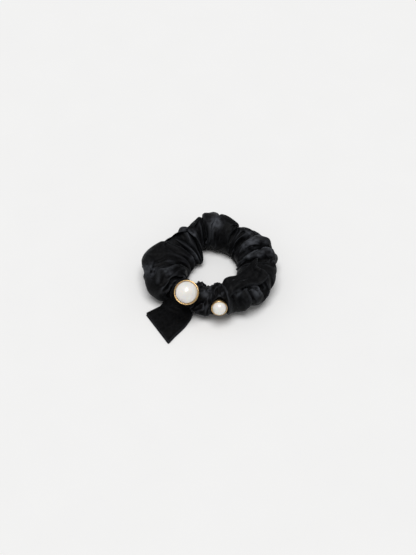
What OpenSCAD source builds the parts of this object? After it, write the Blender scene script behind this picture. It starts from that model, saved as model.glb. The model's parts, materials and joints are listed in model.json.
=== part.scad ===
// Velvet scrunchie with a knotted bow, two short tails and two capped pearls.
// Frame: +Z up, origin at the middle of the hair opening, the bow and pearls at the front (-Y).
// The ring lies flat: its underside rests on the plane z = -rest_drop.

/* [Ring] */
// Radius of the hair opening
opening_r = 18.5; // [17:0.5:19.5]
// Radius of the centreline of the gathered cloth tube
ring_r = 31; // [30:0.5:32]
// Radius of the cloth tube where a pearl or the wrap pinches it
neck_r = 6.6; // [6.2:0.1:6.8]
// Thickness of the gathered cloth wall
wall = 1.2; // [0.8:0.1:1.4]
// Height of the middle of the ring above the surface it lies on
rest_drop = 11.5; // [11:0.25:12]

/* [Gathers] */
// Outer radius of the gathers at the left and right
side_reach = 49.6; // [47:0.2:51]
// Outer radius of the gathers at the back
back_reach = 47.2; // [45:0.2:50]
// Outer radius of the gathers towards the front
front_reach = 43.2; // [42.4:0.2:44]
// Half height of the gathers round the sides and back
gather_h = 12.4; // [12:0.1:13]
// Number of pleats round the sides and back
pleats = 17; // [13:1:19]
// Angle that each pleat takes up
pleat_angle = 10; // [8:0.5:11]

/* [Bow] */
// Angle round the ring where the knot wrap starts
knot_start = 223; // [222.5:0.5:226]
// Angle that the knot wrap covers
knot_span = 30; // [26:1:30]
// Thickness of the wrap round the neck
wrap_t = 1.1; // [0.8:0.1:1.2]
// Half height of the knot
knot_h = 10.0; // [9.5:0.1:10]
// Outer radius of the knot
knot_reach = 43.2; // [42:0.2:43.4]
// Thickness of one layer of a tail
ply_t = 1.2; // [0.8:0.1:1.2]

/* [Large pearl] */
// Radius of the large pearl
large_r = 7.75; // [7:0.25:8]
// Distance from the middle of the cloth tube to the middle of the large pearl
large_stand = 17.1; // [17.1:0.1:18]

/* [Small pearl] */
// Radius of the small pearl
small_r = 5.0; // [4.5:0.25:5.25]
// Distance from the middle of the cloth tube to the middle of the small pearl
small_stand = 13.5; // [13.5:0.1:14.5]

/* [Elastic] */
// Inner radius of the relaxed elastic loop
elastic_r = 28.6; // [28.2:0.1:28.8]
// Width of the elastic
elastic_w = 6; // [4:0.5:6]
// Thickness of the elastic
elastic_t = 1.0; // [0.6:0.1:1.0]

/* [Hidden] */
$fn = 64;

velvet_color = [0.06, 0.06, 0.07];
thread_color = [0.12, 0.12, 0.13];
pearl_color = [0.95, 0.93, 0.88];
gold_color = [0.86, 0.68, 0.38];
elastic_color = [0.16, 0.16, 0.17];
glue_color = [0.85, 0.82, 0.70];

// The side zone of gathers runs from the small pearl's pinch round the back to the knot.
side_start = 287;
side_end = 582;
side_span = side_end - side_start;
// The smooth cloth under the pleats: inner and outer radius and half height.
base_in = 19.0;
side_out = 46.4;
side_h = 11.4;
pleat_in = 18.9;
// The knot lies round the neck between the two pearls.
bow_start = 253.5;
bow_span = 25.5;
bow_in = 21.5;
// The gathers shrink over a shoulder at each end of the side zone.
shoulder_angle = 7;
gather_span = side_span - 2 * shoulder_angle;
pleat_pitch = gather_span / pleats;
shoulder_in = 20.5;
shoulder_out = 42.6;
shoulder_h = 9.8;
// The flat inner face of the opening, drawn tight by the elastic.
land_h = 8;
land_t = 3.5;
cut = 0.5;

// Seams. The long seam's allowance stands inside the tube, on the opening's side.
allowance_w = 3.8;
allowance_t = 1.2;
allowance_end = 3;
long_stitches = 60;
long_stitch_angle = 2.8;
thread_r = 0.25;
// The closing seam lies in the valley before this pleat.
seam_pleat = 10;
seam_angle = side_start + shoulder_angle + pleat_pitch * seam_pleat;
seam_stitch_angle = 3.6;
seam_thread_r = 0.3;
seam_step = 15;
groove_gap = 0.02;
wrap_stitches = 7;
wrap_stitch_len = 2.4;

// Elastic splice, a lap joint sewn with a zigzag.
splice_start = 84;
splice_span = 24;
splice_stitches = 9;

// Pearl mounting, measured along the mount's own axis from the middle of the cloth tube.
pocket_floor = 4.8;
boss_foot = 3.9;
boss_top = 5.0;
knot_foot = 3.5;
stem_r = 0.9;
stem_gap = 0.08;
foot_t = 0.4;
foot_r = 1.7;
leg_gap = 0.18;
glue_ratio = 0.02;
lip_ratio = 0.14;
nest_gap = 2.0;

// One row for each pearl: [ring angle, azimuth, polar angle, pearl radius, stand, cup wall,
// shank loop radius, shank wire radius, shank drop, thread radius, pocket radius]
LARGE = [243, 255, 35, large_r, large_stand, 0.85, 1.5, 0.5, 0.75, 0.40, 2.6];
SMALL = [280.5, 272, 70, small_r, small_stand, 0.68, 1.25, 0.4, 0.55, 0.32, 2.2];
function pearl_radius(p) = p[3];
function stand(p) = p[4];
function cup_in(p) = p[3] * (1 + glue_ratio);
function cup_out(p) = cup_in(p) + p[5];
function loop_r(p) = p[6];
function wire_r(p) = p[7];
function loop_z(p) = stand(p) - cup_out(p) - p[8];
function bar_r(p) = p[9];
bar_gap = 0.1;
function bar_z(p) = loop_z(p) - loop_r(p) + wire_r(p) + bar_r(p) + bar_gap;
function pocket_r(p) = p[10];

// One row for each tail, clockwise in plan from the far corner: [corner, hinge end, hinge end,
// corner, points of the end edge, height of its underside, ends of its root under the knot]
LEFT_TAIL = [[-45.4, -36.6], [-33.7, -32.0], [-12.5, -41.5], [-29.2, -62.8], [],
             -rest_drop, [[-22.0, -26.2], [-12.9, -31.6]]];
RIGHT_TAIL = [[36.2, -26.6], [13.6, -35.5], [8.6, -22.4], [32.4, -8.4], [[33.4, -14.6], [39.4, -21.8]],
              gather_h + 0.3, [[3.0, -34.5], [1.5, -25.5]]];
function hinge_a(t) = t[1];
function hinge_b(t) = t[2];
function level(t) = t[5];
ply_gap = 0.1;
fold_r = ply_t + ply_gap / 2;
hinge_r = fold_r - 0.15;
hinge_gap = 0.4;
function hinge_vec(t) = hinge_b(t) - hinge_a(t);
function hinge_z(t) = level(t) + fold_r;
edge_sag = 1.2;
edge_steps = 8;
flap_inset = 0.14;
stitch_pitch = 2.2;
// The gathered cloth that joins a tail's root to the wrap or the knot.
tongue_w = 10;
tongue_start = 32;
tongue_end = 37.5;
tongue_top = -4.5;
tongue_angle = 239;
lug_angle = 270.5;
lug_span = 7;
lug_start = 27;
lug_end = 35;
lug_foot = 8;

// Pleats swell and shrink in turn, and follow the oval outline of the ring.
function is_back(a) = sin(a) > 0;
function reach(a) = side_reach * pow(cos(a), 2)
    + (is_back(a) ? back_reach : front_reach) * pow(sin(a), 2);
function pleat_swell(i) = i % 2 == 0 ? 0 : -0.9;
function polar(r, a) = [r * cos(a), r * sin(a)];

// A section with half-round ends, from radius r0 to r1 and half height h.
module oval_section(r0, r1, h) {
    translate([r0 + h, 0]) circle(h);
    translate([r1 - h, 0]) circle(h);
    translate([r0 + h, -h]) square([r1 - r0 - 2 * h, 2 * h]);
}

module arc_of(start, span) {
    rotate([0, 0, start]) rotate_extrude(angle = span) children();
}

module neck_ring(r) {
    rotate_extrude() translate([ring_r, 0]) circle(r);
}

// Places children on a pearl's mounting axis, with z measured from the middle of the tube.
module on_axis(p) {
    translate([ring_r * cos(p[0]), ring_r * sin(p[0]), 0])
        rotate([0, p[2], p[1]]) children();
}

module nest(p, extra) {
    on_axis(p) translate([0, 0, stand(p)]) sphere(cup_out(p) + nest_gap + extra);
}

module pocket(p) {
    on_axis(p) {
        translate([0, 0, pocket_floor]) cylinder(r = pocket_r(p), h = ring_r);
        translate([0, 0, knot_foot - cut]) cylinder(r = stem_r + stem_gap, h = pocket_floor);
    }
}

// The cloth drawn down round a pearl's thread.
module dimple(p) {
    on_axis(p) translate([0, 0, boss_foot])
        cylinder(r = pocket_r(p) + wall, h = boss_top - boss_foot);
}

module gathers() {
    for (i = [0:pleats - 1]) {
        a = side_start + shoulder_angle + pleat_pitch * (i + 0.5);
        arc_of(a - pleat_angle / 2, pleat_angle)
            oval_section(pleat_in, reach(a) + pleat_swell(i), gather_h + pleat_swell(i) / 2);
    }
}

module cover_outside() {
    neck_ring(neck_r);
    arc_of(side_start + shoulder_angle, gather_span) oval_section(base_in, side_out, side_h);
    arc_of(side_start, side_span) oval_section(shoulder_in, shoulder_out, shoulder_h);
    arc_of(side_start, side_span)
        translate([opening_r, -land_h / 2]) square([land_t, land_h]);
    gathers();
}

module cover_inside() {
    neck_ring(neck_r - wall);
    inset = 1.5;
    difference() {
        union() {
            arc_of(side_start + shoulder_angle + inset, gather_span - 2 * inset)
                oval_section(base_in + wall, side_out - wall, side_h - wall);
            arc_of(side_start + inset, side_span - 2 * inset)
                oval_section(shoulder_in + wall, shoulder_out - wall, shoulder_h - wall);
        }
        nest(LARGE, wall);
        nest(SMALL, wall);
    }
}

// Running stitches across the joint where the two ends of the cloth tube meet.
module closing_seam(swell) {
    centre_out = side_out - side_h;
    centre_in = base_in + side_h;
    arc_of(seam_angle - seam_stitch_angle / 2, seam_stitch_angle) {
        for (a = [-45:seam_step:90])
            translate([centre_out, 0] + polar(side_h, a)) circle(seam_thread_r + swell);
        for (a = [90 + seam_step:seam_step:150])
            translate([centre_in, 0] + polar(side_h, a)) circle(seam_thread_r + swell);
    }
}

module velvet_cover() {
    color(velvet_color) {
        difference() {
            union() {
                difference() {
                    cover_outside();
                    cover_inside();
                }
                dimple(LARGE);
                dimple(SMALL);
            }
            nest(LARGE, 0);
            nest(SMALL, 0);
            pocket(LARGE);
            pocket(SMALL);
            closing_seam(groove_gap);
            cylinder(r = opening_r, h = 4 * gather_h, center = true);
            translate([0, 0, -rest_drop - gather_h])
                cylinder(r = 2 * side_reach, h = gather_h);
        }
        // The long seam's allowance, standing inside the tube.
        arc_of(side_start + allowance_end, side_span - 2 * allowance_end)
            translate([base_in + wall - cut, -allowance_t / 2])
                square([allowance_w, allowance_t]);
    }
}

module long_seam_stitches() {
    pitch = (side_span - 4 * allowance_end) / long_stitches;
    color(thread_color)
        for (i = [0:long_stitches - 1])
            arc_of(side_start + 2 * allowance_end + pitch * i, long_stitch_angle)
                translate([base_in + wall + allowance_w / 2, allowance_t / 2 + thread_r])
                    circle(thread_r);
}

module closing_seam_stitches() {
    color(thread_color) closing_seam(0);
}

// The thread legs of the zigzag, through both layers of the lap joint.
module splice_legs(swell) {
    for (i = [0:splice_stitches - 1])
        rotate([0, 0, splice_start + splice_span * (i + 0.5) / splice_stitches])
            translate([elastic_r - thread_r, 0, (i % 2 == 0 ? 1 : -1) * elastic_w / 4])
                rotate([0, 90, 0]) cylinder(r = thread_r + swell, h = 2 * elastic_t + 2 * thread_r);
}

module elastic_band() {
    color(elastic_color) difference() {
        union() {
            arc_of(0, 360) translate([elastic_r, -elastic_w / 2]) square([elastic_t, elastic_w]);
            arc_of(splice_start, splice_span) translate([elastic_r, -elastic_w / 2])
                square([2 * elastic_t, elastic_w]);
        }
        splice_legs(groove_gap);
    }
}

module elastic_splice_stitches() {
    color(thread_color) splice_legs(0);
}

// The knot is the bulk of the bow, tied round the neck of the ring.
module bow_knot() {
    color(velvet_color) difference() {
        arc_of(bow_start, bow_span) oval_section(bow_in, knot_reach, knot_h);
        neck_ring(neck_r);
        nest(LARGE, 0);
        nest(SMALL, 0);
        pocket(SMALL);
    }
}

// The wrap is a band of the same velvet round the neck.
module wrap_band(inner, outer, start, span) {
    arc_of(start, span) translate([ring_r, 0]) difference() {
        circle(outer);
        circle(inner);
    }
}

// Stitches down the inner side of the ring, where the ends of the wrap meet.
module wrap_stitch_bars(swell) {
    for (i = [0:wrap_stitches - 1])
        rotate([0, 0, knot_start + knot_span * (i + 0.5) / wrap_stitches])
            translate([ring_r - neck_r - wrap_t, 0, 0])
                cylinder(r = seam_thread_r + swell, h = wrap_stitch_len, center = true);
}

module knot_wrap() {
    color(velvet_color) difference() {
        wrap_band(neck_r, neck_r + wrap_t, knot_start, knot_span);
        pocket(LARGE);
        wrap_stitch_bars(groove_gap);
    }
}

module knot_wrap_stitches() {
    color(thread_color) wrap_stitch_bars(0);
}

// An edge from p to q that bows outwards by sag.
function bowed_edge(p, q, sag) = let (v = q - p, n = [v[1], -v[0]] / norm(v))
    [for (i = [0:edge_steps]) let (t = i / edge_steps) p + v * t + n * sag * 4 * t * (1 - t)];

module flap_outline(t) {
    polygon(concat(
        bowed_edge(t[0], hinge_a(t), -edge_sag / 2),
        bowed_edge(hinge_b(t), t[3], -edge_sag),
        t[4]));
}

// Short threads between the two layers, just inside each sewn edge.
module edge_row(t, p, q) {
    v = q - p;
    count = floor(norm(v) / stitch_pitch);
    for (i = [1:count - 1])
        translate(concat(p + v * i / count, hinge_z(t))) children();
}

module flap_threads(t, swell) {
    centre = (t[0] + t[1] + t[2] + t[3]) / 4;
    inner = [for (i = [0:3]) t[i] + (centre - t[i]) * flap_inset];
    for (row = [[1, 0], [0, 3], [3, 2]])
        edge_row(t, inner[row[0]], inner[row[1]])
            cylinder(r = thread_r + swell, h = ply_t + 2 * swell, center = true);
}

// The rolled fold that a flap turns about.
module hinge_roll(t, r, trim) {
    translate(concat(hinge_a(t), hinge_z(t)))
        rotate([0, 0, atan2(hinge_vec(t)[1], hinge_vec(t)[0])]) rotate([0, 90, 0])
            translate([0, 0, trim]) cylinder(r = r, h = norm(hinge_vec(t)) - 2 * trim);
}

// The upper layer carries the fold, so it turns on a round edge.
module top_ply(t) {
    color(velvet_color) difference() {
        union() {
            translate([0, 0, level(t) + ply_t + ply_gap]) linear_extrude(ply_t) flap_outline(t);
            hinge_roll(t, hinge_r, 0);
        }
        flap_threads(t, groove_gap);
    }
}

module bottom_ply(t) {
    color(velvet_color) difference() {
        translate([0, 0, level(t)]) linear_extrude(ply_t) flap_outline(t);
        hinge_roll(t, hinge_r + groove_gap, -cut);
        flap_threads(t, groove_gap);
    }
}

// The gathered root of a tail, flat under or over the ring up to the fold.
module root_plate(t) {
    translate([0, 0, level(t)]) linear_extrude(2 * ply_t + ply_gap)
        polygon([hinge_a(t), t[6][0], t[6][1], hinge_b(t)]);
}

module left_tail_root() {
    color(velvet_color) difference() {
        union() {
            root_plate(LEFT_TAIL);
            rotate([0, 0, tongue_angle])
                translate([tongue_start, -tongue_w / 2, level(LEFT_TAIL)])
                    cube([tongue_end - tongue_start, tongue_w, tongue_top - level(LEFT_TAIL)]);
        }
        neck_ring(neck_r + wrap_t + groove_gap);
        hinge_roll(LEFT_TAIL, fold_r + hinge_gap, -cut);
    }
}

module right_tail_root() {
    color(velvet_color) difference() {
        union() {
            root_plate(RIGHT_TAIL);
            arc_of(lug_angle, lug_span) translate([lug_start, lug_foot])
                square([lug_end - lug_start, level(RIGHT_TAIL) + ply_t - lug_foot]);
        }
        arc_of(bow_start, bow_span) oval_section(bow_in, knot_reach, knot_h + groove_gap);
        hinge_roll(RIGHT_TAIL, fold_r + hinge_gap, -cut);
    }
}

module left_tail_top_ply() { top_ply(LEFT_TAIL); }
module left_tail_bottom_ply() { bottom_ply(LEFT_TAIL); }
module left_tail_stitches() { color(thread_color) flap_threads(LEFT_TAIL, 0); }
module right_tail_top_ply() { top_ply(RIGHT_TAIL); }
module right_tail_bottom_ply() { bottom_ply(RIGHT_TAIL); }
module right_tail_stitches() { color(thread_color) flap_threads(RIGHT_TAIL, 0); }

// Pearl mounts. Each is drawn on its own axis and shared by both sizes.
module pearl_ball(p) {
    on_axis(p) translate([0, 0, stand(p)]) sphere(pearl_radius(p));
}

module glue_film(p) {
    lip = -pearl_radius(p) * lip_ratio / 2;
    on_axis(p) translate([0, 0, stand(p)]) rotate_extrude() intersection() {
        difference() {
            circle(cup_in(p));
            circle(pearl_radius(p));
        }
        translate([0, -cup_out(p)]) square([cup_out(p), cup_out(p) + lip]);
    }
}

// A bowl that closes a little past the widest part of the pearl, with a rolled rim.
module cup_bowl(p) {
    lip = pearl_radius(p) * lip_ratio;
    mid = (cup_in(p) + cup_out(p)) / 2;
    on_axis(p) translate([0, 0, stand(p)]) rotate_extrude() difference() {
        union() {
            intersection() {
                circle(cup_out(p));
                translate([0, -cup_out(p)]) square([cup_out(p), cup_out(p) + lip]);
            }
            translate([sqrt(mid * mid - lip * lip), lip]) circle((cup_out(p) - cup_in(p)) / 2);
        }
        circle(cup_in(p));
        translate([-cup_out(p), -cup_out(p)]) square([cup_out(p), 2 * cup_out(p)]);
    }
}

module shank_loop(p) {
    on_axis(p) difference() {
        translate([0, 0, loop_z(p)]) rotate([90, 0, 0]) rotate_extrude()
            translate([loop_r(p), 0]) circle(wire_r(p));
        translate([0, 0, stand(p)]) sphere(cup_out(p));
    }
}

// The thread: a bar through the shank's eye, two legs, a foot, a stem and a knot inside the cloth.
module thread_yoke(p) {
    half = wire_r(p) + bar_r(p) + 2 * leg_gap;
    on_axis(p) {
        translate([0, 0, bar_z(p)]) rotate([90, 0, 0])
            cylinder(r = bar_r(p), h = 2 * half, center = true);
        for (side = [-1, 1]) translate([0, side * half, 0]) {
            translate([0, 0, bar_z(p)]) sphere(bar_r(p));
            translate([0, 0, pocket_floor]) cylinder(r = bar_r(p), h = bar_z(p) - pocket_floor);
        }
        translate([0, 0, pocket_floor]) cylinder(r = foot_r, h = foot_t);
        translate([0, 0, knot_foot]) cylinder(r = stem_r, h = pocket_floor - knot_foot + cut / 2);
        translate([0, 0, knot_foot - foot_t]) cylinder(r = foot_r, h = foot_t);
    }
}

module large_pearl() { color(pearl_color) pearl_ball(LARGE); }
module large_pearl_glue() { color(glue_color) glue_film(LARGE); }
module large_pearl_cup() { color(gold_color) cup_bowl(LARGE); }
module large_pearl_shank() { color(gold_color) shank_loop(LARGE); }
module large_pearl_thread() { color(thread_color) thread_yoke(LARGE); }
module small_pearl() { color(pearl_color) pearl_ball(SMALL); }
module small_pearl_glue() { color(glue_color) glue_film(SMALL); }
module small_pearl_cup() { color(gold_color) cup_bowl(SMALL); }
module small_pearl_shank() { color(gold_color) shank_loop(SMALL); }
module small_pearl_thread() { color(thread_color) thread_yoke(SMALL); }

velvet_cover();
long_seam_stitches();
closing_seam_stitches();
elastic_band();
elastic_splice_stitches();
bow_knot();
knot_wrap();
knot_wrap_stitches();
left_tail_root();
left_tail_top_ply();
left_tail_bottom_ply();
left_tail_stitches();
right_tail_root();
right_tail_top_ply();
right_tail_bottom_ply();
right_tail_stitches();
large_pearl();
large_pearl_glue();
large_pearl_cup();
large_pearl_shank();
large_pearl_thread();
small_pearl();
small_pearl_glue();
small_pearl_cup();
small_pearl_shank();
small_pearl_thread();
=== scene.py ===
import json
import math

import bmesh
import bpy
import numpy as np
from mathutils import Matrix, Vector
from mathutils.bvhtree import BVHTree


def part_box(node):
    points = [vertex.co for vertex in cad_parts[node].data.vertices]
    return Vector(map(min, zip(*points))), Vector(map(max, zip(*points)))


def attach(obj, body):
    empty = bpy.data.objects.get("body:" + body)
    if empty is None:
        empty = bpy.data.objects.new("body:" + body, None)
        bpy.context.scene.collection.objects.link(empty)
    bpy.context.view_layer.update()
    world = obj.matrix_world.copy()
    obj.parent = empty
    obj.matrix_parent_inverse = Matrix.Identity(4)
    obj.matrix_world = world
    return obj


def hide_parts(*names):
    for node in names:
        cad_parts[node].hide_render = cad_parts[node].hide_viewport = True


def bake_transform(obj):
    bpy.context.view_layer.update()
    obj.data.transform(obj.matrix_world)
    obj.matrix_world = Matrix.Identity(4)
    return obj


# A gathered velvet scrunchie with a knotted bow and two pearls. Lengths are in metres; names that
# end in _MM are in millimetres, and angles go round the ring in degrees, anticlockwise from +X.

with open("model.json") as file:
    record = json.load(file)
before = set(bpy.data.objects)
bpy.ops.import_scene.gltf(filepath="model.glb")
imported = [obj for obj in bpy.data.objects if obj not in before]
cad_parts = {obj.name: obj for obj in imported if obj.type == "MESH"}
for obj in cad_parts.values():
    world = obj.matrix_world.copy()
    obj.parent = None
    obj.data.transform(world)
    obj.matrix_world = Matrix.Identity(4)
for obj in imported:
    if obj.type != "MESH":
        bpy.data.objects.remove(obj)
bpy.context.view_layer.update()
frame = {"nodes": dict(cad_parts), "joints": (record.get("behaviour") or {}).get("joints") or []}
MM = 0.001

# The ring, shared with the CAD source.
RING_R = 31.0 * MM
NECK_R = 6.6 * MM
SIDE_START, SIDE_END = -73.0, 222.0
FLOOR_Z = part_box("velvet_cover")[0].z

# The cover: a tube sewn from one strip of velvet, simulated as it gathers onto the elastic. Its
# columns go along the strip, first over the puffs and then over the neck under the bow, and its
# rows go round the tube. It is gathered until its inner line lies on a ring of its own.
TUBE_R = 13.5 * MM
NECK_LENGTH = 40.0 * MM
COLUMNS, NECK_COLUMNS, ROWS = 200, 10, 40
INNER_LINE_R = 20.5 * MM
GATHERED_R, GATHERED_TUBE_R = 34 * MM, 13 * MM
# How uneven the cloth is before it is gathered.
UNEVEN_MM = 0.4
# Where the valleys between the puffs lie, and the cloth in a puff: a length for the fold itself,
# and more for each degree that the puff takes up.
VALLEYS = [-73, -51, -37, -3, 11, 38, 50, 98, 112, 126, 138, 152, 187, 222]
FOLD_CLOTH, CLOTH_PER_DEGREE = 6.0 * MM, 0.84 * MM
RIPPLE_SHARE = 0.05
# The channel that the elastic lies in: its middle, its half-width, and how far every row of the
# knot keeps from that middle on its own side.
CHANNEL_R, CHANNEL, KNOT_CHANNEL = 29.5 * MM, 5.4 * MM, 3.6 * MM
# How far the folds are filled out towards the cover's outline, and how strictly every fold
# reaches that outline, from 0 to 1.
PLUMP, OUTLINE_HOLD = 0.6, 0.95
CLOSING_SEAM_ANGLE = 97
# The cover's outline: angle, inner radius, outer radius and height above the ring's middle, in mm.
OUTLINE_MM = [
    (-73, 21.0, 39.5, 8.0), (-66, 18.5, 44.5, 10.0), (-56, 17.5, 49.0, 11.6),
    (-40, 18.5, 50.0, 12.2), (-22, 19.0, 49.8, 12.4), (0, 18.5, 48.6, 12.6),
    (8, 18.4, 49.4, 12.6), (20, 19.0, 47.2, 12.6), (30, 19.4, 44.4, 12.6),
    (52, 20.0, 40.4, 11.8), (64, 20.0, 41.4, 12.2), (76, 19.6, 43.8, 12.6),
    (88, 20.0, 48.2, 12.6), (97, 21.0, 45.8, 12.2), (106, 21.0, 41.6, 11.6),
    (112, 16.0, 39.0, 11.0), (119, 10.0, 37.4, 10.8), (132, 8.6, 36.8, 10.8),
    (144, 10.4, 37.4, 11.2), (156, 12.0, 41.4, 11.8), (168, 11.6, 47.2, 12.4),
    (178, 11.6, 50.8, 12.6), (192, 13.6, 52.0, 12.6), (208, 18.6, 51.0, 12.2),
    (218, 21.0, 48.7, 10.4), (222, 21.5, 46.5, 9.0),
]
# Creases and ridges on the cover's upper side: points as (angle, radius in mm), then the depth
# (less than nothing for a ridge) and the width, in mm.
CREASES = [
    (((3, 20), (0, 28), (1, 35), (7, 44)), -1.5, 1.6),
    (((8, 23), (13, 31), (14, 39), (13, 47)), 3.0, 2.2),
    (((-4, 21), (-7, 30), (-6, 38), (-2, 47)), 2.0, 1.6),
    (((24, 27), (21, 36), (20, 44)), -1.5, 2.4),
    (((45, 20), (46, 27), (44, 33)), 1.6, 1.1), (((37, 20), (38, 27), (35, 33)), 1.6, 1.1),
    (((86, 21), (87, 33)), -1.1, 2.6), (((100, 21), (101, 33), (100, 44)), 2.2, 0.9),
    (((84, 34), (84, 50)), -2.8, 3.0), (((127, 24), (127, 34)), -2.2, 2.6),
    (((192, 22), (190, 30), (197, 37), (213, 44)), -1.3, 1.6),
    (((184, 22), (183, 31), (189, 39), (203, 46)), 1.5, 1.5),
    (((201, 26), (208, 36)), -1.1, 1.4), (((205, 24), (214, 36)), 1.2, 1.2),
    (((-50, 40), (-50.5, 51)), 3.0, 1.2), (((-36, 36), (-37, 44), (-38, 51)), 2.4, 1.5),
    (((-70, 37), (-55, 36.5), (-45, 39), (-40, 43)), -1.4, 1.4),
]

# The knot: where it lies, the length of its tube of cloth, how far each end is twisted, and the
# radii and half-height that it is filled out to.
KNOT_START, KNOT_END = 249.0, 286.5
KNOT_CLOTH = 30.0 * MM
KNOT_TWIST = 70.0
KNOT_INNER, KNOT_OUTER, KNOT_HALF = 20.4 * MM, 42.8 * MM, 12.0 * MM
# Radius of the knot's tube before it is bunched, and at its bound ends.
KNOT_TUBE_R, KNOT_END_R = 10.5 * MM, 7.2 * MM
# The size of the knot's ends against its middle, and how far its folds are filled out.
KNOT_BLUNT, KNOT_PLUMP = 0.92, 0.3
KNOT_CREASES = [
    (((283, 35), (272, 39.5), (261, 42.5)), -1.2, 1.2), (((281, 38.5), (268, 43)), 1.3, 1.0),
    (((279, 27), (268, 33), (257, 38)), 1.3, 1.1), (((282, 23), (272, 28), (258, 32)), -0.9, 1.2),
]
# The wrap: where it lies, and how far its edges and its rolled middle stand off the neck.
WRAP_START, WRAP_END = 223.0, 252.5
WRAP_GAP, WRAP_RISE = 0.7 * MM, 1.8 * MM
# How far the cover, the knot and the wrap stay clear of a pearl's cup, which rocks.
COVER_CLEAR, KNOT_CLEAR, WRAP_CLEAR = 1.5 * MM, 2.0 * MM, 2.2 * MM

# The tails: thickness of a layer, and each tail in plan, in mm, as two side edges that run from
# the bow to the far corners. The right tail's far edge is notched.
PLY_T = 1.0 * MM
LEFT_TAIL_MM = (((-31.0, -24.0), (-35.6, -30.2), (-45.4, -36.6)),
                ((-13.0, -29.0), (-12.6, -39.2), (-18.4, -48.8), (-24.6, -55.8), (-29.2, -62.2)))
RIGHT_TAIL_MM = (((7.9, -26.2), (9.4, -22.4), (12.6, -19.2), (18.4, -18.0), (24.1, -14.6),
                  (29.2, -9.8), (33.2, -7.6)),
                 ((11.9, -38.5), (14.8, -36.9), (18.4, -33.1), (24.1, -29.7), (29.9, -28.3),
                  (35.4, -26.9), (41.0, -22.4)))
RIGHT_TAIL_NOTCH_MM = 4.2
# Stitches along a tail's edges: length, distance from one to the next, and thread radius.
STITCH, STITCH_STEP, STITCH_R = 1.4 * MM, 2.2 * MM, 0.13 * MM

# Painted highlights: patches where the velvet's colour is lightened to stand in for light catching
# the pile: ring angle, radius and height, and size, in mm.
PAINTED_HIGHLIGHTS_MM = [
    (83, 31, 12, 6.5), (87, 42, 6, 5), (22, 31, 11, 9), (32, 38, 10, 8), (12, 40, 10, 6),
    (150, 14, 2, 6), (195, 45, 5, 8), (176, 44, 6, 6), (205, 34, 11, 5), (125, 25, 11, 5),
    (2, 27, 10, 4), (1, 35, 12, 4), (6, 43, 10, 5), (-43, 45, 8, 5), (-60, 38, 9, 3.5),
    (266, 33, 9, 5),
]

# The light: the even glow of the studio, and one broad overhead light that leans a little.
STUDIO_GLOW = 0.35
OVERHEAD_POWER, OVERHEAD_SPREAD, OVERHEAD_LEAN = 2.13, 38, 8
# The camera looks down at the photograph's angle, at a point near the ring's middle. Its lens and
# film height are in mm.
CAMERA_LENS, CAMERA_FILM = 85, 36
CAMERA_ELEVATION, CAMERA_DISTANCE = 50, 936 * MM
CAMERA_TARGET = (-1.8 * MM, -11.74 * MM, 0)
FLOOR_HALF = 3.0


# ---------------------------------------------------------------- helpers

def ring_point(angle, radius, z=0.0):
    a = math.radians(angle)
    return np.array([radius * math.cos(a), radius * math.sin(a), z])


def smooth_noise(rng, count, width):
    """Smooth noise round a closed line, with a spread of one."""
    kernel = np.hanning(2 * width + 1)
    raw = np.tile(rng.normal(size=count), 3)
    found = np.convolve(raw, kernel / kernel.sum(), "same")[count:2 * count]
    return found / found.std()


def ease(t):
    t = np.clip(t, 0, 1)
    return t * t * (3 - 2 * t)


def grid_faces(n, m, wrap_n, wrap_m):
    """Quads over an n by m grid of points, closed in either direction."""
    index = np.arange(n * m).reshape(n, m)
    if wrap_n:
        index = np.vstack([index, index[:1]])
    if wrap_m:
        index = np.hstack([index, index[:, :1]])
    quads = [index[:-1, :-1], index[1:, :-1], index[1:, 1:], index[:-1, 1:]]
    return np.stack(quads, -1).reshape(-1, 4).tolist()


def mesh_object(name, points, faces):
    mesh = bpy.data.meshes.new(name)
    mesh.from_pydata(np.asarray(points, float).reshape(-1, 3).tolist(), [], faces)
    made = bmesh.new()
    made.from_mesh(mesh)
    bmesh.ops.recalc_face_normals(made, faces=made.faces)
    made.to_mesh(mesh)
    made.free()
    mesh.polygons.foreach_set("use_smooth", [True] * len(mesh.polygons))
    obj = bpy.data.objects.new(name, mesh)
    bpy.context.scene.collection.objects.link(obj)
    return obj


def subdivide(obj):
    """Smooths a piece by one step of subdivision, applied to its mesh."""
    modifier = obj.modifiers.new("subdivision", "SUBSURF")
    modifier.levels = modifier.render_levels = 1
    graph = bpy.context.evaluated_depsgraph_get()
    baked = bpy.data.meshes.new_from_object(obj.evaluated_get(graph))
    obj.modifiers.clear()
    obj.data = baked


def points_of(obj):
    co = np.empty(len(obj.data.vertices) * 3)
    obj.data.vertices.foreach_get("co", co)
    return co.reshape(-1, 3)


def set_points(obj, co):
    obj.data.vertices.foreach_set("co", np.asarray(co).ravel())
    obj.data.update()


def angles_round(count):
    """Even angles round the section of a tube, in radians, from its inner side."""
    return np.linspace(0, 2 * math.pi, count, endpoint=False) + math.pi


def section(angles, radius, tube_r, phi):
    """Points round the sections of a tube whose centreline lies on a ring."""
    a = np.radians(angles)[:, None]
    across = radius + tube_r * np.cos(phi)
    return np.stack([across * np.cos(a), across * np.sin(a), tube_r * np.sin(phi) + 0 * a], -1)


def tube(path, radius, sides=6):
    """Points and faces of a thin tube with closed ends along a path."""
    path = np.asarray(path, float)
    along = np.gradient(path, axis=0)
    along /= np.linalg.norm(along, axis=1)[:, None] + 1e-12
    helper = np.array([0.31, 0.17, 0.93])
    one = np.cross(along, helper)
    one /= np.linalg.norm(one, axis=1)[:, None]
    two = np.cross(along, one)
    turn = np.linspace(0, 2 * math.pi, sides, endpoint=False)
    rings = (path[:, None] + radius * (np.cos(turn)[None, :, None] * one[:, None]
                                       + np.sin(turn)[None, :, None] * two[:, None]))
    faces = grid_faces(len(path), sides, False, True)
    last = (len(path) - 1) * sides
    faces += [list(range(sides))[::-1], [last + k for k in range(sides)]]
    return rings.reshape(-1, 3), faces


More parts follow.
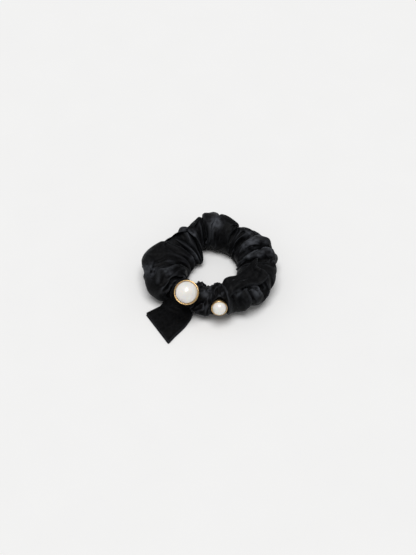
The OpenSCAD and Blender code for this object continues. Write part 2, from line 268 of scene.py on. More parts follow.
def thread_object(name, paths, radius):
    """Every stitch of one seam as a single mesh of short tubes."""
    points, faces = [], []
    for path in paths:
        base = sum(len(p) for p in points)
        p, f = tube(path, radius)
        points.append(p)
        faces += [[i + base for i in face] for face in f]
    return mesh_object(name, np.concatenate(points), faces)


# ---------------------------------------------------------------- cloth

CLOTH_SCALE = 10.0  # the simulation runs at ten times real size, where the solver is steady


def carried_cloth(start, end, pinned, closed, gathered_at):
    """A mesh whose pinned points move from start to end, by the frame gathered_at."""
    faces = grid_faces(*start.shape[:2], closed, True)
    obj = mesh_object("cloth", start * CLOTH_SCALE, faces)
    group = obj.vertex_groups.new(name="pin")
    group.add(np.flatnonzero(pinned.ravel()).tolist(), 1.0, "REPLACE")
    obj.shape_key_add(name="Basis")
    key = obj.shape_key_add(name="gathered")
    key.data.foreach_set("co", (end * CLOTH_SCALE).ravel())
    for at, value in ((1, 0.0), (gathered_at, 1.0)):
        key.value = value
        key.keyframe_insert("value", frame=at)
    for curve in obj.data.shape_keys.animation_data.action.fcurves:
        for point in curve.keyframe_points:
            point.interpolation = "LINEAR"
    return obj


def add_cloth(obj, frames, bend, pressure):
    """Thin, soft velvet that doesn't pass through itself, with a little air in it."""
    modifier = obj.modifiers.new("Cloth", "CLOTH")
    modifier.point_cache.frame_end = frames
    cloth = modifier.settings
    cloth.vertex_group_mass = "pin"
    cloth.quality, cloth.mass = 4, 0.15
    cloth.tension_stiffness = cloth.compression_stiffness = 20
    cloth.shear_stiffness, cloth.bending_stiffness = 5, bend
    cloth.tension_damping = cloth.compression_damping = cloth.shear_damping = 5
    cloth.bending_damping, cloth.air_damping = 0.5, 2
    cloth.use_pressure, cloth.uniform_pressure_force = True, pressure
    cloth.effector_weights.gravity = 0.2
    touch = modifier.collision_settings
    touch.use_self_collision, touch.collision_quality = True, 1
    touch.self_distance_min = 1.0 * MM * CLOTH_SCALE
    touch.distance_min, touch.self_friction = 0.6 * MM * CLOTH_SCALE, 2


def simulate(start, end, pinned, closed, frames, gathered_at, bend, pressure):
    """Cloth on a grid of points, of which the pinned ones are carried from start to end while the
    others settle. A closed strip's last column joins its first."""
    obj = carried_cloth(start, end, pinned, closed, gathered_at)
    add_cloth(obj, frames, bend, pressure)
    bpy.ops.mesh.primitive_plane_add(size=4, location=(0, 0, FLOOR_Z * CLOTH_SCALE))
    ground = bpy.context.object
    ground.modifiers.new("Collision", "COLLISION")
    scene = bpy.context.scene
    scene.frame_start, scene.frame_end = 1, frames
    for moment in range(1, frames + 1):
        scene.frame_set(moment)
    settled = obj.evaluated_get(bpy.context.evaluated_depsgraph_get()).to_mesh()
    co = np.empty(start.size)
    settled.vertices.foreach_get("co", co)
    bpy.data.objects.remove(obj)
    bpy.data.objects.remove(ground)
    scene.frame_set(1)
    return co.reshape(start.shape) / CLOTH_SCALE


def cloth_layout():
    """Each column's ring angle and place along the cloth, the cloth's length, and each column's
    ripple. The columns over the puffs come first, then those on the neck."""
    valleys = np.array(VALLEYS, float)
    widths = np.diff(valleys)
    lengths = FOLD_CLOTH + CLOTH_PER_DEGREE * widths
    ends = np.concatenate([[0], np.cumsum(lengths)])
    side = np.linspace(0, ends[-1], COLUMNS)
    neck = np.arange(1, NECK_COLUMNS + 1) / (NECK_COLUMNS + 1)
    along = np.concatenate([side, ends[-1] + NECK_LENGTH * neck])
    angles = np.concatenate([np.interp(side, ends, valleys),
                             SIDE_END + (SIDE_START + 360 - SIDE_END) * neck])
    phase = np.interp(side, ends, 2 * math.pi * np.arange(len(ends)))
    puff = np.clip(np.searchsorted(ends, side, "right") - 1, 0, len(lengths) - 1)
    ripple = np.zeros(len(along))
    ripple[:COLUMNS] = -np.cos(phase) * lengths[puff] * RIPPLE_SHARE
    return angles, along, ends[-1] + NECK_LENGTH, ripple


def gathered_cover():
    """Columns of points round the gathered tube, and the ring angle that each column starts at."""
    rng = np.random.default_rng(5)
    angles, along, total, ripple = cloth_layout()
    phi = angles_round(ROWS)
    flat_angles = np.degrees(along / total * 2 * math.pi) + SIDE_START
    start = section(flat_angles, total / (2 * math.pi), TUBE_R, phi)
    out = section(flat_angles, 0.0, 1.0, phi)
    noise = rng.normal(size=start.shape)
    for _ in range(2):
        noise = (noise + sum(np.roll(noise, k, axis) for k in (1, -1) for axis in (0, 1))) / 5
    start = start + ripple[:, None, None] * out + noise * UNEVEN_MM * MM
    end = section(angles, GATHERED_R, GATHERED_TUBE_R, phi)
    end[:, 0] = np.stack([ring_point(a, INNER_LINE_R) for a in angles])
    bound = np.zeros(start.shape[:2], bool)
    bound[:, 0] = True
    for j in [0, COLUMNS - 1, *range(COLUMNS, len(angles))]:
        end[j] = section(angles[j:j + 1], RING_R, NECK_R, phi)[0]
        bound[j] = True
    gathered = simulate(start, end, bound, closed=True, frames=45, gathered_at=32,
                        bend=12.0, pressure=2.0)
    return gathered, angles


def smooth_envelope(angle, value, pick, spread=9.0):
    """What pick finds of the values near each angle round the ring, smoothed over some degrees."""
    bins = np.arange(-180, 180, 4.0)
    found = np.full(len(bins), np.nan)
    for i, b in enumerate(bins):
        near = np.abs((angle - b + 180) % 360 - 180) < 0.75 * spread
        if near.any():
            found[i] = pick(value[near])
    away = np.abs((bins[None] - bins[:, None] + 180) % 360 - 180)
    weight = np.exp(-0.5 * (away / spread) ** 2) * ~np.isnan(found)
    smooth = (weight * np.nan_to_num(found)).sum(1) / weight.sum(1)
    return np.interp(angle, bins, smooth, period=360)


def wanted_outline(angle):
    """The real cover's inner radius, outer radius and height at some angles, and how far they
    hold there: 1 along the puffs, and 0 at the neck."""
    table = np.array(OUTLINE_MM)
    turn = np.where(angle < SIDE_START, angle + 360, angle)
    want = [np.interp(turn, table[:, 0], table[:, k]) * MM for k in (1, 2, 3)]
    return want, ease((turn - SIDE_START) / 8) * ease((SIDE_END - turn) / 4)


def fit_outline(co):
    """Scales the simulated cloth, smoothly round the ring, to the outline of the real cover."""
    p = co.reshape(-1, 3).copy()
    angle = np.degrees(np.arctan2(p[:, 1], p[:, 0]))
    radius = np.hypot(p[:, 0], p[:, 1])
    (inner, outer, top), side = wanted_outline(angle)

    def limit(value, percent):
        return smooth_envelope(angle, value, lambda v: np.percentile(v, percent))

    # The whole section is scaled first.
    now_high, now_low = limit(p[:, 2], 97), limit(-p[:, 2], 95)
    inward = (RING_R - inner) / (RING_R - limit(radius, 5))
    outward = (outer - RING_R) / (limit(radius, 97) - RING_R)
    scale = 1 + side * (np.where(radius < RING_R, inward, outward) - 1)
    new_radius = RING_R + (radius - RING_R) * scale
    level = FLOOR_Z + (p[:, 2] + now_low) * (top - FLOOR_Z) / (now_high + now_low)
    height = p[:, 2] + side * (level - p[:, 2])
    # Then each fold is brought to the outer edge.
    widest = smooth_envelope(angle, new_radius, np.max, 3.6)
    trim = 1 + side * OUTLINE_HOLD * ((outer - RING_R) / (widest - RING_R) - 1)
    new_radius = np.where(new_radius > RING_R, RING_R + (new_radius - RING_R) * trim, new_radius)
    # Last, what is left inside is filled out towards an oval of the wanted size.
    middle, half = (outer + inner) / 2, (outer - inner) / 2
    tall = np.where(height > 0, top, -FLOOR_Z)
    across = new_radius - middle
    full = np.hypot(across / half, height / tall)
    filled = 1 + (1 / np.maximum(full, 0.2) - 1) * PLUMP * side
    p[:, :2] *= ((middle + across * filled) / radius)[:, None]
    p[:, 2] = height * filled
    return p.reshape(co.shape)


def round_elastic(co, phi, clear):
    """Keeps every row of a tube outside the elastic, on the side of it that the row faces."""
    radius = np.hypot(co[..., 0], co[..., 1])
    reach = (radius - CHANNEL_R) * np.cos(phi) + co[..., 2] * np.sin(phi)
    push = np.maximum(clear - reach, 0)
    co = co.copy()
    co[..., :2] *= ((radius + push * np.cos(phi)) / radius)[..., None]
    co[..., 2] += push * np.sin(phi)
    return co


def clear_of_elastic(co):
    """Pushes points straight out of the channel that the elastic lies in."""
    radius = np.hypot(co[..., 0], co[..., 1])
    far = np.hypot(radius - CHANNEL_R, co[..., 2]) + 1e-9
    grow = np.maximum(CHANNEL / far, 1)
    co = co.copy()
    co[..., :2] *= ((CHANNEL_R + (radius - CHANNEL_R) * grow) / radius)[..., None]
    co[..., 2] *= grow
    return co


def rest_on_floor(co, gap=0.05 * MM):
    """Points that are below the floor are laid just above it."""
    co = co.copy()
    co[..., 2] = np.maximum(co[..., 2], FLOOR_Z + gap)
    return co


def pearl_mount(size):
    """Centre of a pearl and reach of its cup."""
    low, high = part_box(f"{size}_pearl")
    cup_low, cup_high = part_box(f"{size}_pearl_cup")
    return np.array((low + high) / 2), max(cup_high - cup_low) / 2


def clear_of_pearls(co, gap):
    """Pushes points out of the space in which the pearls and their cups rock."""
    co = co.copy()
    for size in ("large", "small"):
        centre, reach = pearl_mount(size)
        away = co - centre
        far = np.linalg.norm(away, axis=-1, keepdims=True)
        co = np.where(far < reach + gap, centre + away / far * (reach + gap), co)
    return co


def away_from_line(plan, line):
    """Distance of plan points from a line through several points."""
    best = np.full(len(plan), np.inf)
    for a, b in zip(line[:-1], line[1:]):
        along = b - a
        t = np.clip((plan - a) @ along / (along @ along), 0, 1)[:, None]
        best = np.minimum(best, np.linalg.norm(plan - a - t * along, axis=1))
    return best


def press_creases(obj, creases):
    """Presses creases into the upper side of a piece, and raises ridges, along its own normals."""
    co = points_of(obj)
    normal = np.array([v.normal[:] for v in obj.data.vertices])
    facing = ease((normal[:, 2] + 0.25) / 0.5)
    for line, depth, width in creases:
        line = np.array([ring_point(a, r * MM)[:2] for a, r in line])
        away = away_from_line(co[:, :2], line) / (width * MM)
        co -= normal * (depth * MM * np.exp(-away ** 2) * facing)[:, None]
    set_points(obj, co)


def make_cover():
    """The cover, its points before subdivision, and the ring angle of each column of them."""
    co, angles = gathered_cover()
    phi = angles_round(ROWS)
    co = round_elastic(fit_outline(co), phi, CHANNEL)
    co = clear_of_pearls(rest_on_floor(co), COVER_CLEAR)
    cover = mesh_object("cover_cloth", co, grid_faces(*co.shape[:2], True, True))
    subdivide(cover)
    press_creases(cover, CREASES)
    return cover, co, angles


def raised(line, centre, distance):
    """A line moved straight away from a centre."""
    out = line - centre
    return line + out / np.linalg.norm(out, axis=1)[:, None] * distance


def seam_threads(co, angles):
    """The long seam down the inner side, and the closing seam in a valley at the back."""
    long_paths = [raised(co[j:j + 3, 0], 0, -0.15 * MM) for j in range(4, COLUMNS - 6, 3)]
    ring = co[np.argmin(np.abs(angles - CLOSING_SEAM_ANGLE))]
    closing_paths = [raised(ring[v:v + 2], ring.mean(0), 0.1 * MM)
                     for v in range(4, ROWS - 4, 2)]
    return (thread_object("long_seam_thread", long_paths, 0.18 * MM),
            thread_object("closing_seam_thread", closing_paths, 0.16 * MM))


# ---------------------------------------------------------------- the bow

def neck_frame(angle):
    """Centre, outward and along directions of the ring at an angle."""
    a = math.radians(angle)
    out = np.array([math.cos(a), math.sin(a), 0])
    return RING_R * out, out, np.array([-math.sin(a), math.cos(a), 0])


def fit_knot(co):
    """Fills the knot out across the neck to the real one's reach and height, blunt at its ends."""
    radius = np.hypot(co[..., 0], co[..., 1])
    angle = np.degrees(np.arctan2(co[..., 1], co[..., 0])) % 360
    t = np.clip((angle - KNOT_START) / (KNOT_END - KNOT_START), 0, 1)
    profile = KNOT_BLUNT + (1 - KNOT_BLUNT) * (1 - np.abs(2 * t - 1) ** 3)
    middle, half = (KNOT_INNER + KNOT_OUTER) / 2, (KNOT_OUTER - KNOT_INNER) / 2
    across, up = (radius - middle) / (half * profile), co[..., 2] / (KNOT_HALF * profile)
    full = np.hypot(across, up)
    grow = 1 / np.percentile(full, 74, axis=1, keepdims=True)
    grow = grow * (1 + (1 / np.maximum(full * grow, 0.3) - 1) * KNOT_PLUMP)
    new = middle + (radius - middle) * grow
    co = co.copy()
    co[..., :2] *= (new / radius)[..., None]
    co[..., 2] *= grow
    return co


def make_knot():
    """A twisted, bunched tube of velvet round the neck between the pearls."""
    columns, rows = 36, 40
    middle, out, along = neck_frame((KNOT_START + KNOT_END) / 2)
    phi = angles_round(rows)
    u = np.linspace(-0.5, 0.5, columns)
    up = np.array([0, 0, 1.0])

    def round_section(centre, direction, radius, turn):
        return centre + radius * (np.cos(phi + turn)[:, None] * direction
                                  + np.sin(phi + turn)[:, None] * up)

    rng = np.random.default_rng(3)
    twist = math.radians(KNOT_TWIST)
    swell = 1 + 0.10 * smooth_noise(rng, columns, 3)
    start = np.stack([round_section(middle + out * 2 * MM + along * KNOT_CLOTH * t, out,
                                    KNOT_TUBE_R * s, twist * t) for t, s in zip(u, swell)])
    start += rng.normal(size=start.shape) * 0.1 * MM
    end = start.copy()
    for j, angle, turn in ((0, KNOT_START, -twist), (columns - 1, KNOT_END, twist)):
        centre, direction, _ = neck_frame(angle)
        end[j] = round_section(centre, direction, KNOT_END_R, turn)
    bound = np.zeros(start.shape[:2], bool)
    bound[[0, -1]] = True
    co = simulate(start, end, bound, closed=False, frames=40, gathered_at=26,
                  bend=30.0, pressure=4.0)
    co = round_elastic(fit_knot(co), phi + twist * 2 * u[:, None], KNOT_CHANNEL)
    co = rest_on_floor(clear_of_elastic(co), 0.3 * MM)
    knot = mesh_object("bow_knot_cloth", co, grid_faces(columns, rows, False, True))
    subdivide(knot)
    press_creases(knot, KNOT_CREASES)
    set_points(knot, clear_of_pearls(points_of(knot), KNOT_CLEAR))
    return knot


def make_wrap():
    """The band round the neck under the large pearl, with rolled edges and soft creases."""
    columns, rows = 30, 48
    rng = np.random.default_rng(8)
    angles = np.linspace(WRAP_START, WRAP_END, columns)
    phi = angles_round(rows)
    t = np.linspace(0, 1, columns)
    roll = np.minimum(t, 1 - t) * 16
    lip = np.sqrt(np.clip(1 - (1 - np.clip(roll, 0, 1)) ** 2, 0, 1))
    creases = sum(0.16 * MM * np.sin(2 * math.pi * (k * t[:, None] + 0.06 * k * np.sin(phi + k)))
                  for k in (2, 3, 5))
    radius = NECK_R + WRAP_GAP + WRAP_RISE * lip[:, None] + creases
    radius = radius + 0.12 * MM * smooth_noise(rng, rows, 3)[None]
    co = section(angles, RING_R, radius, phi)
    inner = section(angles[[0, -1]], RING_R, NECK_R - 0.6 * MM, phi)
    co = clear_of_pearls(np.concatenate([inner[:1], co, inner[1:]]), WRAP_CLEAR)
    wrap = mesh_object("knot_wrap_cloth", co, grid_faces(len(co), rows, False, True))
    subdivide(wrap)
    return wrap


def edge_points(corners, count):
    """Evenly spaced points along an edge through its corners."""
    line = np.array(corners, float)
    step = np.concatenate([[0], np.cumsum(np.linalg.norm(np.diff(line, axis=0), axis=1))])
    at = np.linspace(0, step[-1], count)
    found = np.stack([np.interp(at, step, line[:, k]) for k in (0, 1)], -1)
    for _ in range(6):
        found[1:-1] = (found[:-2] + 2 * found[1:-1] + found[2:]) / 4
    return found


def tail_plan(edges, n, m, notch=0.0):
    """Plan points of a tail: n across from edge to edge, m from the bow to its far end."""
    first, last = (edge_points(e, m) for e in edges)
    across = np.linspace(0, 1, n)[:, None, None]
    plan = first[None] * (1 - across) + last[None] * across
    fork = notch * np.interp(across[:, 0, 0], [0, 0.36, 0.69, 1.0], [0, 1.0, 0.3, 0])
    back = plan[:, -6] - plan[:, -1]
    back /= np.linalg.norm(back, axis=1)[:, None]
    down = np.linspace(0, 1, m)
    pull = fork[:, None] * ease((down[None] - 0.75) / 0.25)
    return (plan + pull[..., None] * back[:, None]) * MM, down


def slab(name, middle, thickness):
    """A closed sheet of cloth with rounded edges about a grid of points."""
    n, m = middle.shape[:2]
    du, dv = np.gradient(middle, axis=0), np.gradient(middle, axis=1)
    normal = np.cross(du, dv)
    normal /= np.linalg.norm(normal, axis=-1)[..., None] + 1e-12
    if normal[..., 2].mean() < 0:
        normal = -normal
    top, low = middle + normal * thickness / 2, middle - normal * thickness / 2
    index = np.arange(n * m).reshape(n, m)
    edge = np.concatenate([index[:, 0], index[-1, 1:], index[-2::-1, -1], index[0, -2:0:-1]])
    centre = middle.reshape(-1, 3)[edge]
    along = np.roll(centre, 1, 0) - np.roll(centre, -1, 0)
    out = np.cross(along, normal.reshape(-1, 3)[edge])
    out /= np.linalg.norm(out, axis=1)[:, None] + 1e-12
    if ((centre - centre.mean(0)) * out).sum() < 0:
        out = -out
    rim = centre + out * thickness * 0.35
    points = np.concatenate([top.reshape(-1, 3), low.reshape(-1, 3), rim])
    faces = grid_faces(n, m, False, False)
    faces += [[i + n * m for i in face] for face in faces]
    base, count = 2 * n * m, len(edge)
    for i in range(count):
        k = (i + 1) % count
        faces.append([edge[i], edge[k], base + k, base + i])
        faces.append([base + i, base + k, edge[k] + n * m, edge[i] + n * m])
    return mesh_object(name, points, [[int(i) for i in f] for f in faces])


def left_tail_height(plan, down, layer):
    """The left tail drops from the wrap to the floor, and its two layers lie on each other."""
    rng = np.random.default_rng(11 + layer)
    across = np.linspace(0, 1, len(plan))[:, None]
    fall = 6.5 * MM * (1 - ease(down / 0.42)) ** 1.3
    wave = 0.35 * MM * smooth_noise(rng, len(plan), 3)[:, None] * ease(down * 2 - 0.6)[None]
    base = FLOOR_Z + PLY_T * (0.55 + 1.08 * layer)
    crease = 1.1 * MM * np.exp(-((down[None] - 0.27 - 0.08 * (across - 0.5) ** 2) / 0.035) ** 2
                               - ((across - 0.5) / 0.25) ** 2)
    return base + fall[None] + np.abs(wave) * layer + crease * layer


def tail_threads(name, plan, z):
    """A row of small stitches inside the three free edges of a tail."""
    middle, inset = plan.shape[1] // 2, 2
    sides = [(inset, slice(middle, -inset)), (slice(inset, -inset), -1 - inset),
             (-1 - inset, slice(middle, -inset))]
    paths = []
    for place in sides:
        line = np.concatenate([plan[place], z[place][:, None] + PLY_T * 0.52], -1)
        step = np.concatenate([[0], np.cumsum(np.linalg.norm(np.diff(line, axis=0), axis=1))])
        for first in np.arange(0.6 * MM, step[-1] - 1.6 * MM, STITCH_STEP):
            at = first + np.array([0, STITCH / 2, STITCH])
            paths.append(np.stack([np.interp(at, step, line[:, k]) for k in range(3)], -1))
    return thread_object(name, paths, STITCH_R)


def make_left_tail():
    """Both layers of the left tail, and the stitches round its free edges."""
    pieces = []
    for layer, name in ((0, "left_tail_under_cloth"), (1, "left_tail_upper_cloth")):
        plan, down = tail_plan(LEFT_TAIL_MM, 24, 40)
        z = left_tail_height(plan, down, layer)
        if layer == 0:
            plan = plan + np.array([-0.15, -0.6]) * MM * ease(down * 2 - 0.6)[None, :, None]
        middle = np.concatenate([plan, z[..., None]], -1)
        piece = slab(name, middle, PLY_T)
        subdivide(piece)
        pieces.append(piece)
    return *pieces, tail_threads("left_tail_thread", plan, z)


def height_over(under, plan):
    """Height of the highest of some pieces under each plan point."""
    graph = bpy.context.evaluated_depsgraph_get()
    trees = [BVHTree.FromObject(piece, graph) for piece in under]
    found = np.full(plan.shape[:2], FLOOR_Z)
    for i, j in np.ndindex(*found.shape):
        above = Vector((*plan[i, j], 50 * MM))
        for tree in trees:
            hit = tree.ray_cast(above, Vector((0, 0, -1)))[0]
            if hit:
                found[i, j] = max(found[i, j], hit.z)
    return found


def mean_of_neighbours(z):
    padded = np.pad(z, 1, mode="edge")
    return (padded[:-2, 1:-1] + padded[2:, 1:-1] + padded[1:-1, :-2] + padded[1:-1, 2:]) / 4


def draped_height(under, plan, lowest):
    """Heights of a sheet laid over some pieces: taut over them, then slightly softened."""
    below = np.maximum(height_over(under, plan), lowest)
    z = below
    for _ in range(60):
        z = np.maximum(mean_of_neighbours(z), below)
    for _ in range(5):
        z = mean_of_neighbours(z)
    return z


def right_tail_height(below, down):
    """The right tail leaves the knot as a puff, lies on the cover, and curls up at its points."""
    across = np.linspace(0, 1, len(below))[:, None]
    edge = 1 - (2 * across - 1) ** 4
    puff = 2.6 * MM * np.exp(-((down[None] - 0.3) / 0.22) ** 2) * edge
    curl = 2.2 * MM * ease((down[None] - 0.72) / 0.28) * (0.4 + 0.6 * np.abs(2 * across - 1))
    dip = 1.3 * MM * np.exp(-((across - 0.55) / 0.14) ** 2 - ((down[None] - 0.72) / 0.2) ** 2)
    ripple = 0.5 * MM * np.sin(2 * math.pi * (1.6 * across + 1.1 * down[None])) * edge
    root = 3.5 * MM * (1 - ease(down[None] / 0.16))
    return below + puff + curl - np.minimum(dip, puff + curl) + np.abs(ripple) - root


def make_right_tail(cover, knot):
    """Both layers of the right tail, and the stitches round its free edges."""
    pieces = []
    plan, down = tail_plan(RIGHT_TAIL_MM, 28, 44, RIGHT_TAIL_NOTCH_MM)
    z = draped_height([cover, knot], plan, 4 * MM)
    z = right_tail_height(z, down) + 0.3 * MM
    for layer, name in ((0, "right_tail_under_cloth"), (1, "right_tail_upper_cloth")):
        level = z + (0.65 + 1.12 * layer) * PLY_T
        piece = slab(name, np.concatenate([plan, level[..., None]], -1), PLY_T)
        subdivide(piece)
        pieces.append(piece)
    return *pieces, tail_threads("right_tail_thread", plan, level)


# ---------------------------------------------------------------- materials

def new_material(name):
    material = bpy.data.materials.new(name)
    material.use_nodes = True
    nodes, links = material.node_tree.nodes, material.node_tree.links
    return material, nodes, links, nodes["Principled BSDF"]


def noise_node(nodes, links, scale, detail=3.0, stretch=(1, 1, 1)):
    place = nodes.new("ShaderNodeTexCoord")
    mapping = nodes.new("ShaderNodeMapping")
    mapping.inputs["Scale"].default_value = stretch
    noise = nodes.new("ShaderNodeTexNoise")
    noise.inputs["Scale"].default_value = scale
    noise.inputs["Detail"].default_value = detail
    links.new(place.outputs["Object"], mapping.inputs["Vector"])
    links.new(mapping.outputs["Vector"], noise.inputs["Vector"])
    return noise


def ramp_node(nodes, links, source, dark, light, low=0.3, high=0.7):
    ramp = nodes.new("ShaderNodeValToRGB")
    ramp.color_ramp.elements[0].position, ramp.color_ramp.elements[1].position = low, high
    ramp.color_ramp.elements[0].color = (*dark, 1)
    ramp.color_ramp.elements[1].color = (*light, 1)
    links.new(source, ramp.inputs["Fac"])
    return ramp


def bump_chain(nodes, links, shader, layers):
    """Bumps in turn, each (height output, distance in metres, strength)."""
    previous = None
    for height, distance, strength in layers:
        bump = nodes.new("ShaderNodeBump")
        bump.inputs["Distance"].default_value = distance
        bump.inputs["Strength"].default_value = strength
        links.new(height, bump.inputs["Height"])
        if previous:
            links.new(previous, bump.inputs["Normal"])
        previous = bump.outputs["Normal"]
    links.new(previous, shader.inputs["Normal"])


def painted_highlight_patches(nodes, links):
    """How strongly the painted highlight patches lighten the velvet's colour, from 0 to 1, with soft
    broken edges.
    """
    place = nodes.new("ShaderNodeTexCoord").outputs["Object"]
    streaks = noise_node(nodes, links, 260, 3)
    total = None
    for angle, radius, height, size in PAINTED_HIGHLIGHTS_MM:
        away = nodes.new("ShaderNodeVectorMath")
        away.operation = "DISTANCE"
        links.new(place, away.inputs[0])
        away.inputs[1].default_value = ring_point(angle, radius * MM, height * MM)
        fade = nodes.new("ShaderNodeMapRange")
        fade.interpolation_type = "SMOOTHSTEP"
        fade.inputs["From Min"].default_value = size * 1.25 * MM
        fade.inputs["From Max"].default_value = size * 0.1 * MM
        links.new(away.outputs["Value"], fade.inputs["Value"])
        found = fade.outputs["Result"]
        total = math_node(nodes, links, "MAXIMUM", total, found) if total else found
    broken = ramp_node(nodes, links, streaks.outputs["Fac"], (0.1,) * 3, (1.0,) * 3, 0.38, 0.62)
    return math_node(nodes, links, "MULTIPLY", total, broken.outputs["Color"])


def math_node(nodes, links, operation, first, second):
    node = nodes.new("ShaderNodeMath")
    node.operation = operation
    for socket, value in zip(node.inputs, (first, second)):
        if isinstance(value, float):
            socket.default_value = value
        else:
            links.new(value, socket)
    return node.outputs[0]


def velvet(name):
    """Black cut-pile velvet: a dark pile with a cool sheen and a random mottle, and a painted
    highlight in listed patches and along convex edges.
    """
    material, nodes, links, shader = new_material(name)
    pile = noise_node(nodes, links, 5200, 2)
    crush = noise_node(nodes, links, 620, 3)
    sweep = noise_node(nodes, links, 90, 2)
    # Painted highlight: the colour is lightened along convex edges and ridges, found from the mesh's
    # pointiness.
    convex_edge_highlight = nodes.new("ShaderNodeMapRange")
    convex_edge_highlight.inputs["From Min"].default_value = 0.51
    convex_edge_highlight.inputs["From Max"].default_value = 0.60
    links.new(nodes.new("ShaderNodeNewGeometry").outputs["Pointiness"], convex_edge_highlight.inputs["Value"])
    mottle = ramp_node(nodes, links, crush.outputs["Fac"], (0.0,) * 3, (0.06,) * 3, 0.4, 0.75)
    # Painted highlight patches, with the random mottle of the crushed pile added to them.
    light = math_node(nodes, links, "ADD", painted_highlight_patches(nodes, links), mottle.outputs["Color"])
    # How much the painted edge highlight adds to the velvet's colour.
    edges = math_node(nodes, links, "MULTIPLY", convex_edge_highlight.outputs["Result"], 0.45)
    light = math_node(nodes, links, "ADD", light, edges)
    tone = ramp_node(nodes, links, light, (0.0005, 0.0005, 0.0007), (0.062, 0.066, 0.076), 0, 1)
    links.new(tone.outputs["Color"], shader.inputs["Base Color"])
    rough = ramp_node(nodes, links, sweep.outputs["Fac"], (0.5,) * 3, (0.7,) * 3)
    links.new(rough.outputs["Color"], shader.inputs["Roughness"])
    shader.inputs["Specular IOR Level"].default_value = 0.08
    shader.inputs["Sheen Weight"].default_value = 0.04
    shader.inputs["Sheen Roughness"].default_value = 0.4
    shader.inputs["Sheen Tint"].default_value = (0.86, 0.92, 1.0, 1)
    bump_chain(nodes, links, shader, [
        (sweep.outputs["Fac"], 0.8 * MM, 0.5), (crush.outputs["Fac"], 0.25 * MM, 0.6),
        (pile.outputs["Fac"], 0.08 * MM, 0.6)])
    return material


def thread(name):
    material, nodes, links, shader = new_material(name)
    twist = nodes.new("ShaderNodeTexWave")
    twist.bands_direction = "DIAGONAL"
    twist.inputs["Scale"].default_value = 900
    place = nodes.new("ShaderNodeTexCoord")
    links.new(place.outputs["Object"], twist.inputs["Vector"])
    tone = ramp_node(nodes, links, twist.outputs["Fac"], (0.0015,) * 3, (0.005, 0.005, 0.006))
    links.new(tone.outputs["Color"], shader.inputs["Base Color"])
    shader.inputs["Roughness"].default_value = 0.7
    shader.inputs["Specular IOR Level"].default_value = 0.1
    shader.inputs["Sheen Weight"].default_value = 0.05
    bump_chain(nodes, links, shader, [(twist.outputs["Fac"], 0.06 * MM, 0.6)])
    return material


def elastic_braid(name):
    material, nodes, links, shader = new_material(name)
    rib = nodes.new("ShaderNodeTexWave")
    rib.bands_direction = "Z"
    rib.inputs["Scale"].default_value = 400
    place = nodes.new("ShaderNodeTexCoord")
    links.new(place.outputs["Object"], rib.inputs["Vector"])
    tone = ramp_node(nodes, links, rib.outputs["Fac"], (0.008,) * 3, (0.03,) * 3)
    links.new(tone.outputs["Color"], shader.inputs["Base Color"])
    shader.inputs["Roughness"].default_value = 0.75
    bump_chain(nodes, links, shader, [(rib.outputs["Fac"], 0.2 * MM, 0.7)])
    return material


def pearl(name):
    """Cream nacre: soft light under a clear gloss, with faint orient and grain."""
    material, nodes, links, shader = new_material(name)
    cloud = noise_node(nodes, links, 140, 2)
    grain = noise_node(nodes, links, 2600, 2)
    tone = ramp_node(nodes, links, cloud.outputs["Fac"], (0.80, 0.775, 0.735), (0.88, 0.865, 0.835))
    links.new(tone.outputs["Color"], shader.inputs["Base Color"])
    rough = ramp_node(nodes, links, grain.outputs["Fac"], (0.28,) * 3, (0.36,) * 3)
    links.new(rough.outputs["Color"], shader.inputs["Roughness"])
    shader.inputs["Specular IOR Level"].default_value = 0.6
    shader.inputs["Coat Weight"].default_value = 0.8
    shader.inputs["Coat Roughness"].default_value = 0.08
    shader.inputs["Subsurface Weight"].default_value = 0.25
    shader.inputs["Subsurface Radius"].default_value = (0.004, 0.003, 0.002)
    shader.inputs["Subsurface Scale"].default_value = 0.5
    bump_chain(nodes, links, shader, [(grain.outputs["Fac"], 0.01 * MM, 0.3)])
    return material


def gold(name):
    material, nodes, links, shader = new_material(name)
    brushed = noise_node(nodes, links, 900, 3, (1, 1, 6))
    tone = ramp_node(nodes, links, brushed.outputs["Fac"], (0.62, 0.40, 0.17), (0.80, 0.56, 0.28))
    links.new(tone.outputs["Color"], shader.inputs["Base Color"])
    rough = ramp_node(nodes, links, brushed.outputs["Fac"], (0.2,) * 3, (0.32,) * 3)
    links.new(rough.outputs["Color"], shader.inputs["Roughness"])
    shader.inputs["Metallic"].default_value = 1.0
    bump_chain(nodes, links, shader, [(brushed.outputs["Fac"], 0.02 * MM, 0.3)])
    return material


def clear_glue(name):
    material, nodes, links, shader = new_material(name)
    drops = noise_node(nodes, links, 700, 2)
    tone = ramp_node(nodes, links, drops.outputs["Fac"], (0.72, 0.67, 0.55), (0.85, 0.81, 0.7))
    links.new(tone.outputs["Color"], shader.inputs["Base Color"])
    shader.inputs["Roughness"].default_value = 0.18
    shader.inputs["Transmission Weight"].default_value = 0.4
    bump_chain(nodes, links, shader, [(drops.outputs["Fac"], 0.05 * MM, 0.4)])
    return material


def paint(obj, material):
    obj.data.materials.clear()
    obj.data.materials.append(material)


def paint_cad(materials):
    """The CAD nodes that stay showing get the same finishes, by the last word of their names."""
    finishes = {"stitches": "thread", "thread": "thread", "band": "elastic", "glue": "glue",
                "cup": "gold", "shank": "gold", "pearl": "pearl"}
    for name, node in frame["nodes"].items():
        finish = finishes.get(name.split("_")[-1])
        if finish:
            for slot in node.material_slots:
                slot.material = materials[finish]
            if not node.material_slots:
                node.data.materials.append(materials[finish])


# ---------------------------------------------------------------- assembly

def hinge_of(name):
    joint = next(j for j in frame["joints"] if j["name"] == name)
    return np.array(joint["pos_m"]), np.array(joint["axis"])


def blend_tail(piece, side, toward):
    """Works out the direction across a tail's hinge, toward the side that its body lies on, and bakes
    the tail's placement into its mesh.
    """
    at, axis = hinge_of(f"{side}_tail_lift")
    across = np.cross(axis, [0, 0, 1.0])
    across = across / np.linalg.norm(across)
    if across @ np.append(toward, 0) < 0:
        across = -across
    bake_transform(piece)


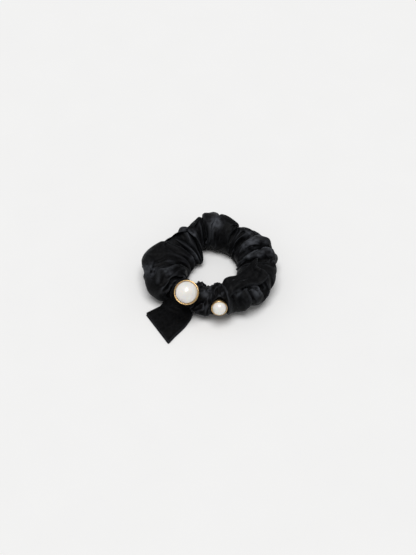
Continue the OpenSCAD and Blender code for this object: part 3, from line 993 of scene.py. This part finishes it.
def build():
    materials = {"velvet": velvet("velvet_pile"), "thread": thread("sewing_thread"),
                 "elastic": elastic_braid("elastic_braid"), "pearl": pearl("pearl_nacre"),
                 "gold": gold("gold_tone"), "glue": clear_glue("clear_glue")}
    cover, co, angles = make_cover()
    long_seam, closing = seam_threads(co, angles)
    knot, wrap = make_knot(), make_wrap()
    left_under, left_upper, left_thread = make_left_tail()
    right_under, right_upper, right_thread = make_right_tail(cover, knot)
    for piece in (cover, knot, wrap, left_under, left_upper, right_under, right_upper):
        paint(piece, materials["velvet"])
    for piece in (long_seam, closing, left_thread, right_thread):
        paint(piece, materials["thread"])
    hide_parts("velvet_cover")
    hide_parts("long_seam_stitches")
    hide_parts("closing_seam_stitches")
    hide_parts("bow_knot")
    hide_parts("knot_wrap")
    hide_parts("left_tail_root", "left_tail_top_ply")
    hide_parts("left_tail_bottom_ply")
    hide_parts("left_tail_stitches")
    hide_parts("right_tail_root", "right_tail_top_ply")
    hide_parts("right_tail_bottom_ply")
    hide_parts("right_tail_stitches")
    for piece in (cover, knot, wrap, long_seam, closing):
        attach(piece, "cover")
    for piece in (left_under, left_upper, left_thread):
        blend_tail(piece, "left", (-0.4, -0.9))
    for piece in (right_under, right_upper, right_thread):
        blend_tail(piece, "right", (0.9, 0.4))
    paint_cad(materials)


def make_stage():
    corners = [(x * FLOOR_HALF, y * FLOOR_HALF, FLOOR_Z)
               for x, y in ((-1, -1), (1, -1), (1, 1), (-1, 1))]
    mesh = bpy.data.meshes.new("floor")
    mesh.from_pydata(corners, [], [(0, 1, 2, 3)])
    floor = bpy.data.objects.new("floor", mesh)
    bpy.context.scene.collection.objects.link(floor)
    material, nodes, links, shader = new_material("floor_paper")
    grain = noise_node(nodes, links, 30, 2)
    tone = ramp_node(nodes, links, grain.outputs["Fac"], (0.868, 0.866, 0.862),
                     (0.876, 0.874, 0.870))
    links.new(tone.outputs["Color"], shader.inputs["Base Color"])
    shader.inputs["Roughness"].default_value = 0.9
    shader.inputs["Specular IOR Level"].default_value = 0.0
    mesh.materials.append(material)


def make_lights():
    world = bpy.data.worlds.new("studio")
    world.use_nodes = True
    glow = world.node_tree.nodes["Background"]
    glow.inputs["Color"].default_value = (1.0, 1.0, 1.0, 1)
    glow.inputs["Strength"].default_value = STUDIO_GLOW
    bpy.context.scene.world = world
    data = bpy.data.lights.new("overhead", "SUN")
    data.energy, data.angle = OVERHEAD_POWER, math.radians(OVERHEAD_SPREAD)
    light = bpy.data.objects.new("overhead", data)
    light.rotation_euler = (math.radians(OVERHEAD_LEAN), 0, 0)
    bpy.context.scene.collection.objects.link(light)


def make_camera():
    data = bpy.data.cameras.new("camera")
    data.lens, data.sensor_fit, data.sensor_height = CAMERA_LENS, "VERTICAL", CAMERA_FILM
    camera = bpy.data.objects.new("camera", data)
    tilt = math.radians(CAMERA_ELEVATION)
    back = Vector((0, -math.cos(tilt), math.sin(tilt)))
    camera.location = Vector(CAMERA_TARGET) + back * CAMERA_DISTANCE
    camera.rotation_euler = (math.radians(90 - CAMERA_ELEVATION), 0, 0)
    bpy.context.scene.collection.objects.link(camera)
    bpy.context.scene.camera = camera
    bpy.context.scene.view_settings.view_transform = "Standard"


build()
make_stage()
make_lights()
make_camera()
bpy.context.view_layer.update()
